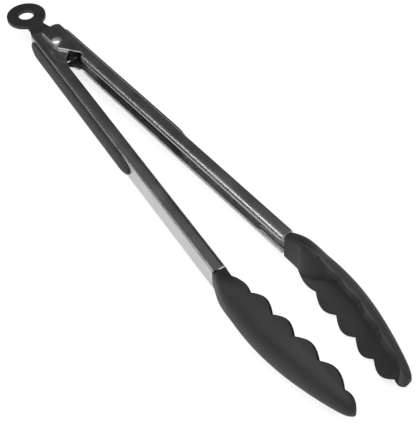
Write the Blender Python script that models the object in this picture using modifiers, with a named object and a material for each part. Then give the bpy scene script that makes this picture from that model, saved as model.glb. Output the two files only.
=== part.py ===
"""Spring loaded kitchen tongs with a pull-ring lock.

The tongs lie on their side: +X runs from the pivot to the scoop tips, +Z is the pivot
axis, and the two arms open along Y.  Each arm's own parts are modelled in that arm's
frame, where x runs along the arm from the pivot, y points outwards to the arm's back
and z is the pivot axis.  Both arms are the same part: the left one is the right one
turned half a turn about X.  The origin is the bottom centre of the bounding box.
"""

from math import acos, asin, atan2, ceil, cos, degrees, hypot, pi, radians, sin, sqrt

import bmesh
import bpy
from mathutils import Matrix, Vector

MM = 0.001

# Arms: a folded steel channel, lengths in metres, measured from the pivot.
HALF_OPENING = radians(3.3)
ARM_END = 195 * MM
WEB_Y_PIVOT = 10.3 * MM
WEB_Y_END = 11.7 * MM
CHANNEL_HALF = 6.3 * MM
WALL = 0.9 * MM
BEND_RADIUS = 1.3 * MM
LIP_RADIUS = 2.4 * MM
SLOT_HALF = 3.7 * MM
LIP_Y_START = 3.0 * MM
LIP_Y_MIDDLE = 3.2 * MM
LIP_Y_END = 4.1 * MM
LIP_START = 19.4 * MM
LIP_MIDDLE = 54 * MM
GAP = 0.3 * MM

# Ears: the pierced ends of the flanges, which cross the pivot and lap over each other.
EAR_TOP = -14 * MM
WEB_TOP = -12 * MM
EAR_LOWER_Y = -2.3 * MM
EAR_LOWER_END = 5.4 * MM
EAR_CORNER = 2.6 * MM
OUTER_DIAGONAL_END = 16.1 * MM
NOTCH_Y = 5.5 * MM
INNER_CURVE_START = 10.3 * MM
INNER_CURVE_END = 20.5 * MM
JOGGLE = WALL + GAP

# Pivot stack, along Z from the middle plane of the tongs.
HOLE_RADIUS = 2.15 * MM
SHANK_RADIUS = 2.0 * MM
RIVET_HEAD_RADIUS = 2.75 * MM
RIVET_HEAD_HEIGHT = 1.35 * MM
SLEEVE_RADIUS = 3.0 * MM
SPOOL_RADIUS = 4.5 * MM
SPOOL_BORE = 2.25 * MM
SPOOL_HALF = 4.05 * MM
LOCK_THICKNESS = 0.8 * MM
SPRING_WIRE = 1.0 * MM
SPRING_RADIUS = 3.8 * MM
SPRING_PITCH = 1.3 * MM
SPRING_LEG_X = 21.5 * MM
SPRING_BOTTOM = 1.65 * MM
WASHER_BOTTOM = 0.65 * MM
WASHER_TOP = 0.95 * MM

# Lock: a slotted steel plate on the sleeve, with a nylon pull ring moulded on its end.
LOCK_TRAVEL = 7 * MM
RING_X = -38.7 * MM
RING_RADIUS = 11.15 * MM
RING_HOLE = 4.5 * MM
RING_THICKNESS = 2.2 * MM
NECK_END = -9.5 * MM
TONGUE_END = -27 * MM
TONGUE_HALF = 3.0 * MM
SLOT_CLEARANCE = 0.25 * MM
SHOULDER_HALF = 8.6 * MM

# Rubber grips on the arms' backs, and the strips inside that hold their studs.
GRIP_START = -11.5 * MM
GRIP_END = 110 * MM
GRIP_HALF = 5.3 * MM
GRIP_GAP = 0.2 * MM
GRIP_HEIGHT_START = 1.4 * MM
GRIP_HEIGHT_END = 1.9 * MM
GRIP_EDGE = 0.3 * MM
STUD_PLACES = [32 * MM, 65 * MM, 98 * MM]
STUD_RADIUS = 1.6 * MM
STUD_HEAD_RADIUS = 2.6 * MM
STUD_HOLE = 1.95 * MM
STRIP_START = 26 * MM
STRIP_END = 104 * MM
STRIP_HALF = 4.6 * MM
STRIP_THICKNESS = 1.2 * MM

# Steel tangs that carry the nylon heads.
TANG_START = 174 * MM
TANG_END = 203.5 * MM
TANG_Y = 8.0 * MM
TANG_HALF = 4.7 * MM
TANG_THICKNESS = 1.2 * MM

# Nylon heads: where along the arm, the back's height, the wall edge's height and the
# half width across the wall edges.
HEAD_START = ARM_END + 1.3 * MM
HEAD_TIP = 291.8 * MM
HEAD_SHAPE = [
    (195, 11.6, 4.9, 6.1),
    (206, 14.6, 6.9, 10.0),
    (220, 15.7, 6.6, 12.6),
    (237, 15.1, 5.2, 13.3),
    (253, 12.4, 3.5, 13.3),
    (268, 8.6, 0.8, 11.5),
    (280, 4.8, -1.1, 8.8),
    (287, 2.2, -2.1, 6.6),
    (290.4, 0.5, -2.6, 4.6),
    (291.8, -0.7, -2.7, 2.2),
]
VALLEYS = [220, 236.5, 252, 267.5, 283.5]
LOBE_HEIGHT = 3.6 * MM
LOBE_LEAN = (-0.7, 0.71)
LOBE_ROUNDING = 0.12
HEAD_WALL = 2.0 * MM
FILL_START = 203.5 * MM
FILL_END = 232 * MM
TIP_FILL_START = 280 * MM
TIP_FILL_END = 289 * MM
HEAD_STATIONS = 37
HEAD_ARC_STEPS = 6


# ---------------------------------------------------------------- small helpers

def ease(low, high, x):
    """0 below low, 1 above high, and a smooth step between them."""
    t = min(max((x - low) / (high - low), 0.0), 1.0)
    return t * t * (3 - 2 * t)


def mix(a, b, t):
    return a + (b - a) * t


def smooth_rows(rows, x):
    """The columns of rows at x, on a smooth curve through the rows."""
    last = len(rows) - 1
    i = 0
    while i < last - 1 and x > rows[i + 1][0]:
        i += 1
    span = rows[i + 1][0] - rows[i][0]
    t = (x - rows[i][0]) / span

    def slope(k, column):
        low, high = max(k - 1, 0), min(k + 1, last)
        return (rows[high][column] - rows[low][column]) / (rows[high][0] - rows[low][0])

    found = []
    for column in range(1, len(rows[0])):
        a, b = rows[i][column], rows[i + 1][column]
        rise_a, rise_b = slope(i, column) * span, slope(i + 1, column) * span
        value = (2 * t**3 - 3 * t**2 + 1) * a + (3 * t**2 - 2 * t**3) * b
        value += (t**3 - 2 * t**2 + t) * rise_a + (t**3 - t**2) * rise_b
        found.append(value)
    return found


def arc(centre_x, centre_y, radius, start, end, steps):
    """Points on a circular arc, angles in degrees."""
    turns = [radians(mix(start, end, i / steps)) for i in range(steps + 1)]
    return [(centre_x + radius * cos(a), centre_y + radius * sin(a)) for a in turns]


# ---------------------------------------------------------------- head sections

def lobe(x_mm):
    """How far the scalloped wall edge stands out between two valleys."""
    places = [205] + VALLEYS + [HEAD_TIP / MM]
    for low, high in zip(places, places[1:]):
        if low <= x_mm <= high:
            share = {places[0]: 0.5, places[-2]: 0.3}.get(low, 1.0)
            swing = abs(sin(pi * (x_mm - low) / (high - low))) ** 0.85
            return LOBE_HEIGHT * share * (hypot(swing, LOBE_ROUNDING) - LOBE_ROUNDING)
    return 0.0


def head_half_section(x):
    """Outer points (y, z) of a head section, from the middle of the back to the wall edge."""
    back, edge, half = (value * MM for value in smooth_rows(HEAD_SHAPE, x / MM))
    opened = ease(ARM_END, ARM_END + 25 * MM, x)
    lean = (LOBE_LEAN[0], LOBE_LEAN[1] * opened)
    reach = 0.62 * (back - edge)
    stand_y, stand_z = edge + 0.78 * reach, half - 0.62 * reach
    points = []
    for i in range(HEAD_ARC_STEPS + 1):
        t = i / HEAD_ARC_STEPS
        turn = t * pi / 2
        boxy_y = edge + (back - edge) * max(cos(turn), 0.0) ** 0.4
        boxy_z = half * sin(turn) ** 0.4
        weights = ((1 - t) ** 3, 3 * (1 - t) ** 2 * t, 3 * (1 - t) * t * t, t**3)
        flared_y = sum(w * y for w, y in zip(weights, (back, back, stand_y, edge)))
        flared_z = sum(w * z for w, z in zip(weights, (0.0, 0.62 * half, stand_z, half)))
        points.append((mix(boxy_y, flared_y, opened), mix(boxy_z, flared_z, opened)))
    stand = lobe(x / MM) / hypot(*lean)
    y, z = points[-1]
    points[-1] = (y + lean[0] * stand, z + lean[1] * stand)
    return points


def head_inner_half(x, outer):
    """Inner points (y, z) of the same section: one wall thickness in, or the filled root."""
    back, edge = outer[0][0], outer[-1][0]
    wall = min(HEAD_WALL, 0.32 * (back - edge), 0.42 * outer[-1][1])
    hollow = ease(FILL_START, FILL_END, x) * (1 - ease(TIP_FILL_START, TIP_FILL_END, x))
    lean = (LOBE_LEAN[0], LOBE_LEAN[1] * ease(ARM_END, ARM_END + 25 * MM, x))
    rim = edge - wall * lean[1] / hypot(*lean)
    floor = mix(rim, back - wall, hollow)
    points = []
    for i, (y, z) in enumerate(outer):
        before, after = outer[max(i - 1, 0)], outer[min(i + 1, len(outer) - 1)]
        dy, dz = after[0] - before[0], after[1] - before[1]
        if i == 0:
            dy = 0.0
        length = hypot(dy, dz)
        inner_y, inner_z = y - wall * dz / length, z + wall * dy / length
        points.append((min(inner_y, floor), max(inner_z, 0.0)))
    return points


def head_stations():
    steps = HEAD_STATIONS - 1
    return [mix(HEAD_START, HEAD_TIP, i / steps) for i in range(HEAD_STATIONS)]


HEAD_HALF_SECTIONS = [(x, head_half_section(x)) for x in head_stations()]
HEAD_REACH = max(points[-1][1] for x, points in HEAD_HALF_SECTIONS)
TIP_REACH = max(x * cos(HALF_OPENING) - y * sin(HALF_OPENING)
                for x, points in HEAD_HALF_SECTIONS
                for y, z in points + head_inner_half(x, points))
PIVOT = Vector((-(TIP_REACH + RING_X - RING_RADIUS) / 2, 0, HEAD_REACH))


# ---------------------------------------------------------------- scene helpers

def clear_scene():
    for thing in list(bpy.data.objects):
        bpy.data.objects.remove(thing)


def new_collection(name):
    collection = bpy.data.collections.new(name)
    bpy.context.scene.collection.children.link(collection)
    return collection


def new_material(name, color, roughness, metallic):
    material = bpy.data.materials.new(name)
    material.use_nodes = True
    shader = material.node_tree.nodes["Principled BSDF"]
    shader.inputs["Base Color"].default_value = (*color, 1)
    shader.inputs["Roughness"].default_value = roughness
    shader.inputs["Metallic"].default_value = metallic
    material.diffuse_color = (*color, 1)
    return material


clear_scene()
PARTS = new_collection("kitchen_tongs")
CUTTERS = new_collection("cutters")
STEEL = new_material("brushed_steel", (0.42, 0.42, 0.43), 0.3, 1.0)
BRIGHT = new_material("bright_steel", (0.75, 0.75, 0.76), 0.15, 1.0)
NYLON = new_material("black_nylon", (0.035, 0.035, 0.037), 0.5, 0.0)
RUBBER = new_material("grey_rubber", (0.055, 0.055, 0.057), 0.75, 0.0)


def new_axis(name, turn):
    axis = bpy.data.objects.new(name, None)
    axis.location = PIVOT
    axis.rotation_euler = turn
    PARTS.objects.link(axis)
    return axis


FIXED = new_axis("pivot_axis", (0, 0, 0))
RIGHT = new_axis("right_arm_axis", (0, 0, HALF_OPENING))
LEFT = new_axis("left_arm_axis", (pi, 0, -HALF_OPENING))


def add_object(name, mesh, parent, material=None):
    """Link a mesh as a part, or as a cutter when it has no material."""
    thing = bpy.data.objects.new(name, mesh)
    thing.parent = parent
    if material:
        mesh.materials.clear()
        mesh.materials.append(material)
        PARTS.objects.link(thing)
    else:
        CUTTERS.objects.link(thing)
        thing.hide_render = True
        thing.display_type = "WIRE"
    return thing


def finish_mesh(bm, name, smooth=True):
    bmesh.ops.recalc_face_normals(bm, faces=bm.faces)
    mesh = bpy.data.meshes.new(name)
    bm.to_mesh(mesh)
    bm.free()
    if smooth:
        mesh.shade_smooth()
        mesh.set_sharp_from_angle(angle=radians(35))
    return mesh


def surface_mesh(name, rows, loop=False, capped=False):
    """A sheet of quads through rows of points; loop closes each row, capped the two ends."""
    bm = bmesh.new()
    verts = [[bm.verts.new(point) for point in row] for row in rows]
    count = len(rows[0])
    for near, far in zip(verts, verts[1:]):
        for i in range(count if loop else count - 1):
            j = (i + 1) % count
            bm.faces.new((near[i], near[j], far[j], far[i]))
    if capped:
        bm.faces.new(verts[0])
        bm.faces.new(verts[-1])
    return finish_mesh(bm, name)


def cylinder_mesh(name, radius, depth, sides=24):
    bm = bmesh.new()
    bmesh.ops.create_cone(bm, cap_ends=True, segments=sides, radius1=radius, radius2=radius,
                          depth=depth)
    return finish_mesh(bm, name)


def box_mesh(name, low, high):
    bm = bmesh.new()
    bmesh.ops.create_cube(bm, size=1)
    middle = (Vector(low) + Vector(high)) / 2
    size = Vector(high) - Vector(low)
    bmesh.ops.transform(bm, matrix=Matrix.Translation(middle) @ Matrix.Diagonal((*size, 1)),
                        verts=bm.verts)
    return finish_mesh(bm, name, smooth=False)


def cut(target, cutter, operation="DIFFERENCE"):
    modifier = target.modifiers.new(cutter.name, "BOOLEAN")
    modifier.operation = operation
    modifier.solver = "EXACT"
    modifier.object = cutter


def bevel(target, width, segments=2, angle=40):
    modifier = target.modifiers.new("edges", "BEVEL")
    modifier.width = width
    modifier.segments = segments
    modifier.limit_method = "ANGLE"
    modifier.angle_limit = radians(angle)


def turned(name, profile, parent, material, steps=24):
    """A turned part: profile points (radius, z) from top to bottom, joined back if closed."""
    mesh = bpy.data.meshes.new(name)
    on_axis = profile[0][0] == 0
    edges = [(i, i + 1) for i in range(len(profile) - 1)]
    if not on_axis:
        edges.append((len(profile) - 1, 0))
    mesh.from_pydata([(radius, 0, z) for radius, z in profile], edges, [])
    thing = add_object(name, mesh, parent, material)
    screw = thing.modifiers.new("turn", "SCREW")
    screw.steps = steps
    screw.render_steps = steps
    screw.use_merge_vertices = True
    screw.merge_threshold = 0.00001
    screw.use_normal_calculate = False
    screw.use_smooth_shade = True
    return thing


def plate_mesh(name, outlines, thickness):
    """A flat plate from closed outlines in its own XY plane; inner outlines are holes."""
    curve = bpy.data.curves.new(name, "CURVE")
    curve.dimensions = "2D"
    curve.fill_mode = "BOTH"
    curve.extrude = thickness / 2
    for outline in outlines:
        spline = curve.splines.new("POLY")
        spline.points.add(len(outline) - 1)
        for point, (x, y) in zip(spline.points, outline):
            point.co = (x, y, 0, 1)
        spline.use_cyclic_u = True
    holder = bpy.data.objects.new(name, curve)
    PARTS.objects.link(holder)
    graph = bpy.context.evaluated_depsgraph_get()
    mesh = bpy.data.meshes.new_from_object(holder.evaluated_get(graph))
    bpy.data.objects.remove(holder)
    bm = bmesh.new()
    bm.from_mesh(mesh)
    bmesh.ops.remove_doubles(bm, verts=bm.verts, dist=0.00001)
    return finish_mesh(bm, name)


# ---------------------------------------------------------------- arm channel

def web_y(x):
    """Height of the web's outer face: the channel deepens gently towards the head."""
    return mix(WEB_Y_PIVOT, WEB_Y_END, x / ARM_END)


def lip_y(x):
    """Height of the lips' outer face, which rises gently towards the head."""
    if x < LIP_MIDDLE:
        return mix(LIP_Y_START, LIP_Y_MIDDLE, (x - LIP_START) / (LIP_MIDDLE - LIP_START))
    return mix(LIP_Y_MIDDLE, LIP_Y_END, (x - LIP_MIDDLE) / (ARM_END - LIP_MIDDLE))


def corner_rise(x):
    """Rounds the ears' lower corner at the top end."""
    inside = EAR_TOP + EAR_CORNER - x
    if inside <= 0:
        return 0.0
    return EAR_CORNER - sqrt(max(EAR_CORNER**2 - inside**2, 0.0))


def outer_edge(x):
    """Lower edge of the outer ear: straight, a diagonal, then the notch before the lip."""
    if x <= EAR_LOWER_END:
        return EAR_LOWER_Y + corner_rise(x)
    share = min((x - EAR_LOWER_END) / (OUTER_DIAGONAL_END - EAR_LOWER_END), 1.0)
    return mix(EAR_LOWER_Y, NOTCH_Y, share)


def inner_edge(x):
    """Lower edge of the inner ear: straight, then one smooth curve into the lip."""
    if x <= INNER_CURVE_START:
        return EAR_LOWER_Y + corner_rise(x)
    left = max((INNER_CURVE_END - x) / (INNER_CURVE_END - INNER_CURVE_START), 0.0)
    return mix(lip_y(LIP_START), EAR_LOWER_Y, left**2.2)


def flange_rows(x, outer):
    """Profile points (y, z) of one flange at x, from the web's bend down to its free edge."""
    bend_line = lip_y(max(x, LIP_START)) + LIP_RADIUS
    full_strip = LIP_RADIUS * pi / 2 + CHANNEL_HALF - LIP_RADIUS - SLOT_HALF
    if outer and x < LIP_START:
        folded = 0.0
        bend_line = max(bend_line, outer_edge(x) + 0.4 * MM)
        strip = bend_line - outer_edge(x)
        offset_in = 0.0
    elif outer:
        folded = 1.0
        strip = mix(0.4 * MM, full_strip, min((x - LIP_START) / (1.2 * MM), 1.0))
        offset_in = 0.0
    else:
        folded = ease(13 * MM, 25 * MM, x)
        strip = max(bend_line - inner_edge(x), full_strip)
        offset_in = JOGGLE * (1 - ease(12 * MM, 23 * MM, x))
    turn = folded * pi / 2
    points = []
    top = web_y(x) - BEND_RADIUS
    for share in (0.0, 0.33, 0.67, 1.0):
        points.append((mix(top, bend_line, share), CHANNEL_HALF))
    for share in (0.16, 0.33, 0.5, 0.67, 0.84, 1.0):
        run = share * strip
        along = min(run, LIP_RADIUS * turn)
        angle = along / LIP_RADIUS
        rest = run - along
        down = LIP_RADIUS * sin(angle) + rest * cos(turn)
        in_z = LIP_RADIUS * (1 - cos(angle)) + rest * sin(turn)
        points.append((bend_line - down, CHANNEL_HALF - in_z))
    stepped = []
    for y, z in points:
        stepped.append((y, z - offset_in * (1 - ease(4.6 * MM, 9.8 * MM, y))))
    return stepped


def channel_profile(x):
    """Outer face of the channel at x, from the near (+z) free edge round to the far one."""
    near = flange_rows(x, outer=True)
    far = flange_rows(x, outer=False)
    bend_y, bend_z = web_y(x) - BEND_RADIUS, CHANNEL_HALF - BEND_RADIUS
    bends = arc(bend_y, bend_z, BEND_RADIUS, 90, 0, 3)[1:]
    points = list(reversed(near))
    points += bends
    points.append((web_y(x), 0.0))
    points += [(y, -z) for y, z in reversed(bends)]
    points += [(y, -z) for y, z in far]
    return points


def arm_stations():
    ear = [EAR_TOP, EAR_TOP + 0.5 * MM, EAR_TOP + 1.3 * MM, EAR_TOP + EAR_CORNER]
    middle = [-5 * MM, 2 * MM, EAR_LOWER_END, 8 * MM, INNER_CURVE_START, 11 * MM, 12 * MM]
    middle += [13.3 * MM, 15 * MM, OUTER_DIAGONAL_END]
    middle += [LIP_START - 0.5 * MM]
    lips = [LIP_START, LIP_START + 0.4 * MM, LIP_START + 1.2 * MM, 23.5 * MM, 26 * MM]
    return ear + middle + lips + [LIP_MIDDLE, 125 * MM, ARM_END]


def arm_rows():
    rows = []
    for x in arm_stations():
        row = []
        for y, z in channel_profile(x):
            web = ease(7 * MM, 11 * MM, y)
            pull = (WEB_TOP - EAR_TOP) * web * (1 - ease(EAR_TOP, 0, x))
            row.append((x + pull, y, z))
        rows.append(row)
    return rows


def make_arm(side, axis):
    mesh = surface_mesh(side + "_arm", arm_rows())
    arm = add_object(side + "_arm", mesh, axis, STEEL)
    wall = arm.modifiers.new("sheet", "SOLIDIFY")
    wall.thickness = WALL
    wall.offset = -1
    wall.use_even_offset = True
    hole = add_object(side + "_rivet_hole", cylinder_mesh("hole", HOLE_RADIUS, 20 * MM), axis)
    cut(arm, hole)
    for i, x in enumerate(STUD_PLACES):
        mesh = cylinder_mesh("hole", STUD_HOLE, 4 * MM, 16)
        hole = add_object(f"{side}_web_hole_{i + 1}", mesh, axis)
        hole.location = (x, web_y(x) - WALL / 2, 0)
        hole.rotation_euler = (pi / 2, 0, 0)
        cut(arm, hole)


# ---------------------------------------------------------------- grips and strips

def grip_rows():
    rows = []
    middle = (GRIP_START + GRIP_END) / 2
    for x in grip_stations():
        end = 7 * MM if x < middle else 12 * MM
        inside = min(x - GRIP_START, GRIP_END - x)
        share = min(inside / end, 1.0)
        width = GRIP_HALF * max(sqrt(1 - (1 - share) ** 2), 0.12)
        height = mix(0.45, 1.0, min(share * 1.5, 1.0) ** 0.6)
        base = web_y(x) + GRIP_GAP
        crown = mix(GRIP_HEIGHT_START, GRIP_HEIGHT_END, (x - GRIP_START) / GRIP_END)
        row = [(x, base, -width)]
        for i in range(7):
            turn = mix(-1, 1, i / 6)
            rise = mix(GRIP_EDGE, crown, sqrt(max(1 - turn * turn, 0)) ** 0.8)
            row.append((x, base + rise * height, width * turn))
        row.append((x, base, width))
        rows.append(row)
    return rows


def grip_stations():
    top = [GRIP_START + s * MM for s in (0, 0.3, 1.2, 3, 7)]
    low = [GRIP_END - s * MM for s in (12, 6, 2.5, 0.8, 0)]
    return top + [(top[-1] + low[0]) / 2] + low


def strip_y():
    return web_y(STRIP_START) - WALL - GAP - STRIP_THICKNESS / 2


def stud_profile(x):
    top = web_y(x) + GRIP_GAP + 0.6 * MM
    head_top = strip_y() - STRIP_THICKNESS / 2 - GAP
    head_low = head_top - 0.7 * MM
    return [(0, top), (STUD_RADIUS, top), (STUD_RADIUS, head_top), (STUD_HEAD_RADIUS, head_top),
            (STUD_HEAD_RADIUS * 0.7, head_low), (0, head_low)]


def make_grip(side, axis):
    mesh = surface_mesh(side + "_grip", grip_rows(), loop=True, capped=True)
    grip = add_object(side + "_grip", mesh, axis, RUBBER)
    for i, x in enumerate(STUD_PLACES):
        stud = turned(f"{side}_stud_{i + 1}", stud_profile(x), axis, None, steps=16)
        stud.location = (x, 0, 0)
        stud.rotation_euler = (-pi / 2, 0, 0)
        cut(grip, stud, "UNION")


def make_strip(side, axis):
    """The nylon strip inside the channel that the grip's studs clip into."""
    half = STRIP_HALF
    outline = arc(STRIP_START + half, 0, half, 90, 270, 8)
    outline += arc(STRIP_END - half, 0, half, -90, 90, 8)
    holes = [arc(x, 0, STUD_HOLE, 0, 337.5, 15) for x in STUD_PLACES]
    mesh = plate_mesh(side + "_grip_strip", [outline] + holes, STRIP_THICKNESS)
    strip = add_object(side + "_grip_strip", mesh, axis, NYLON)
    strip.location = (0, strip_y(), 0)
    strip.rotation_euler = (pi / 2, 0, 0)


# ---------------------------------------------------------------- heads and tangs

def make_tang(side, axis):
    """The steel tongue, welded inside the arm's end, that the nylon head is moulded on."""
    corner = 2.5 * MM
    outline = arc(TANG_START + corner, -TANG_HALF + corner, corner, 270, 180, 4)
    outline += arc(TANG_START + corner, TANG_HALF - corner, corner, 180, 90, 4)
    outline += [(TANG_END, TANG_HALF), (TANG_END, -TANG_HALF)]
    mesh = plate_mesh(side + "_head_tang", [outline], TANG_THICKNESS)
    tang = add_object(side + "_head_tang", mesh, axis, STEEL)
    tang.location = (0, TANG_Y, 0)
    tang.rotation_euler = (pi / 2, 0, 0)


def head_rows():
    rows = []
    for x, outer in HEAD_HALF_SECTIONS:
        inner = head_inner_half(x, outer)
        loop = [(x, y, z) for y, z in reversed(outer)]
        loop += [(x, y, -z) for y, z in outer[1:]]
        loop += [(x, y, -z) for y, z in reversed(inner)]
        loop += [(x, y, z) for y, z in inner[1:]]
        rows.append(loop)
    return rows


def make_head(side, axis):
    mesh = surface_mesh(side + "_head", head_rows(), loop=True, capped=True)
    head = add_object(side + "_head", mesh, axis, NYLON)
    room = 0.2 * MM
    low = (ARM_END - 1 * MM, TANG_Y - TANG_THICKNESS / 2 - room, -TANG_HALF - room)
    high = (TANG_END + GAP, TANG_Y + TANG_THICKNESS / 2 + room, TANG_HALF + room)
    pocket = add_object(side + "_tang_pocket", box_mesh("pocket", low, high), axis)
    cut(head, pocket)


# ---------------------------------------------------------------- pivot stack

def dome(radius, height, base, up, steps=5):
    """Profile of a domed rivet head from its top on the axis down to its rim."""
    turns = [pi / 2 * (1 - i / steps) for i in range(steps + 1)]
    return [(radius * cos(a) if i else 0.0, base + up * height * sin(a))
            for i, a in enumerate(turns)]


def make_rivet():
    """Solid rivet: a domed head on the near side and a shank through both arms."""
    base = CHANNEL_HALF + 0.15 * MM
    end = -CHANNEL_HALF - 0.9 * MM
    profile = dome(RIVET_HEAD_RADIUS, RIVET_HEAD_HEIGHT, base, 1)
    profile += [(SHANK_RADIUS, base), (SHANK_RADIUS, end), (0, end)]
    turned("pivot_rivet", profile, FIXED, BRIGHT, steps=32)


def make_rivet_cap():
    """Domed cap pressed over the shank's far end."""
    base = -CHANNEL_HALF - 0.15 * MM
    socket = -CHANNEL_HALF - 1.05 * MM
    profile = [(0, socket), (HOLE_RADIUS, socket), (HOLE_RADIUS, base)]
    profile += list(reversed(dome(RIVET_HEAD_RADIUS, RIVET_HEAD_HEIGHT, base, -1)))
    turned("rivet_cap", profile, FIXED, BRIGHT, steps=32)


def make_spool():
    """Nylon spacer on the rivet: a wide foot below the lock plate, a sleeve through it."""
    shoulder = -LOCK_THICKNESS / 2 - 0.15 * MM
    profile = [(SLEEVE_RADIUS, SPOOL_HALF), (SLEEVE_RADIUS, shoulder), (SPOOL_RADIUS, shoulder),
               (SPOOL_RADIUS, -SPOOL_HALF), (SPOOL_BORE, -SPOOL_HALF), (SPOOL_BORE, SPOOL_HALF)]
    turned("pivot_spool", profile, FIXED, NYLON)


def make_washer():
    """Thin washer between the sliding lock plate and the spring."""
    bore = SLEEVE_RADIUS + 0.2 * MM
    profile = [(SPOOL_RADIUS, WASHER_TOP), (SPOOL_RADIUS, WASHER_BOTTOM), (bore, WASHER_BOTTOM),
               (bore, WASHER_TOP)]
    turned("spring_washer", profile, FIXED, BRIGHT)


def spring_points():
    """Torsion spring centre line: left leg, the coil round the sleeve, right leg."""
    reach = web_y(SPRING_LEG_X) - WALL - GAP - SPRING_WIRE / 2
    foot_x = SPRING_LEG_X * cos(HALF_OPENING) - reach * sin(HALF_OPENING)
    foot_y = SPRING_LEG_X * sin(HALF_OPENING) + reach * cos(HALF_OPENING)
    lift = atan2(foot_y, foot_x) + acos(SPRING_RADIUS / hypot(foot_x, foot_y))
    sweep = 2 * pi + 2 * (pi - lift)
    steps = 26
    low = SPRING_BOTTOM
    high = low + SPRING_PITCH * sweep / (2 * pi)
    points = [(foot_x, -foot_y, low)]
    for i in range(steps + 1):
        turn = -lift - sweep * i / steps
        points.append((SPRING_RADIUS * cos(turn), SPRING_RADIUS * sin(turn),
                       mix(low, high, i / steps)))
    points.append((foot_x, foot_y, high))
    return points


def make_spring():
    curve = bpy.data.curves.new("torsion_spring", "CURVE")
    curve.dimensions = "3D"
    curve.bevel_depth = SPRING_WIRE / 2
    curve.bevel_resolution = 2
    curve.render_resolution_u = 0
    curve.use_fill_caps = True
    route = spring_points()
    spline = curve.splines.new("POLY")
    spline.points.add(len(route) - 1)
    for point, place in zip(spline.points, route):
        point.co = (*place, 1)
    curve.materials.append(BRIGHT)
    spring = bpy.data.objects.new("torsion_spring", curve)
    spring.parent = FIXED
    PARTS.objects.link(spring)


# ---------------------------------------------------------------- lock

def make_lock_plate():
    """Slotted plate: tongue in the pull ring, shoulders that wedge the arms' webs apart."""
    body = 5.7 * MM
    slot_half = SLEEVE_RADIUS + SLOT_CLEARANCE
    slot_far = LOCK_TRAVEL
    end = slot_far + slot_half + 2.4 * MM
    half_outline = [(TONGUE_END, TONGUE_HALF), (NECK_END + 1 * MM, TONGUE_HALF),
                    (NECK_END + 3 * MM, body), (-3.2 * MM, body), (-1.8 * MM, SHOULDER_HALF),
                    (2.4 * MM, SHOULDER_HALF), (6 * MM, body), (end - 2 * MM, body),
                    (end, body - 2 * MM)]
    outline = half_outline + [(x, -y) for x, y in reversed(half_outline)]
    slot = arc(0, 0, slot_half, 90, 270, 8) + arc(slot_far, 0, slot_half, -90, 90, 8)
    mesh = plate_mesh("lock_plate", [outline, slot], LOCK_THICKNESS)
    add_object("lock_plate", mesh, FIXED, BRIGHT)


def pull_ring_outline():
    """Ring with a neck that narrows from the ring and flares again between the arms."""
    neck_half = 4.7 * MM
    join = degrees(asin(neck_half / RING_RADIUS))
    ring = arc(RING_X, 0, RING_RADIUS, join, 360 - join, 30)
    flare = [(-25.5, 4.7), (-22.5, 5.5), (-19.5, 6.5), (-16.5, 7.3), (-12, 7.6), (-9.5, 6.4)]
    low_side = [(x * MM, -y * MM) for x, y in flare]
    high_side = [(x * MM, y * MM) for x, y in reversed(flare)]
    return ring + low_side + high_side


def make_pull_ring():
    hole = arc(RING_X, 0, RING_HOLE, 0, 345, 23)
    mesh = plate_mesh("pull_ring", [pull_ring_outline(), hole], RING_THICKNESS)
    ring = add_object("pull_ring", mesh, FIXED, NYLON)
    bevel(ring, 0.5 * MM, segments=2, angle=60)
    room = 0.2 * MM
    half = TONGUE_HALF + GAP
    low = (TONGUE_END - GAP, -half, -LOCK_THICKNESS / 2 - room)
    high = (NECK_END + 2 * MM, half, LOCK_THICKNESS / 2 + room)
    cut(ring, add_object("tongue_pocket", box_mesh("pocket", low, high), FIXED))


for side, axis in (("right", RIGHT), ("left", LEFT)):
    make_arm(side, axis)
    make_grip(side, axis)
    make_strip(side, axis)
    make_tang(side, axis)
    make_head(side, axis)
make_rivet()
make_rivet_cap()
make_spool()
make_washer()
make_spring()
make_lock_plate()
make_pull_ring()
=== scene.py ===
"""Looks for the spring loaded kitchen tongs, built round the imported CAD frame.

Each arm's pieces are built in that arm's frame: x along the arm from the pivot, y out to
the arm's back, z along the pivot axis.  The left arm is the right one turned over.
"""
from math import acos, asin, atan2, cos, degrees, hypot, pi, radians, sin, sqrt

import bmesh
import bpy
from mathutils import Matrix, Vector


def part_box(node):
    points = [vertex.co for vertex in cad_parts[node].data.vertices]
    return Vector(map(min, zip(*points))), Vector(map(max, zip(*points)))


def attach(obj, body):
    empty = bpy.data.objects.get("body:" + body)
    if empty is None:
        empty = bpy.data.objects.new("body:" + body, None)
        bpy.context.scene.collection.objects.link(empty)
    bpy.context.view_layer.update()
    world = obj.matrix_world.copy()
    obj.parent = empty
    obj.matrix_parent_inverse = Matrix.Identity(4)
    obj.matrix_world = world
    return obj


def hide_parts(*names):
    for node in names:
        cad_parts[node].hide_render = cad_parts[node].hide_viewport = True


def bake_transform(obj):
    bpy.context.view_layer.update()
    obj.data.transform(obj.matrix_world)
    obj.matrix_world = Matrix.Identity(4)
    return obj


MM = 0.001
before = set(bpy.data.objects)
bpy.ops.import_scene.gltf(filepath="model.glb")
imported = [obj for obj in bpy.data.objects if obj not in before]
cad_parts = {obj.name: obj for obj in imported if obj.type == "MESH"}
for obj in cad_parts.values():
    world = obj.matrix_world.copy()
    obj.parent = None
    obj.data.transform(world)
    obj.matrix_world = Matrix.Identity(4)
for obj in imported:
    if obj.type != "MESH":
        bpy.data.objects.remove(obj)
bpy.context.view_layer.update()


def middle(node):
    low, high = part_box(node)
    return (low + high) / 2


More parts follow.
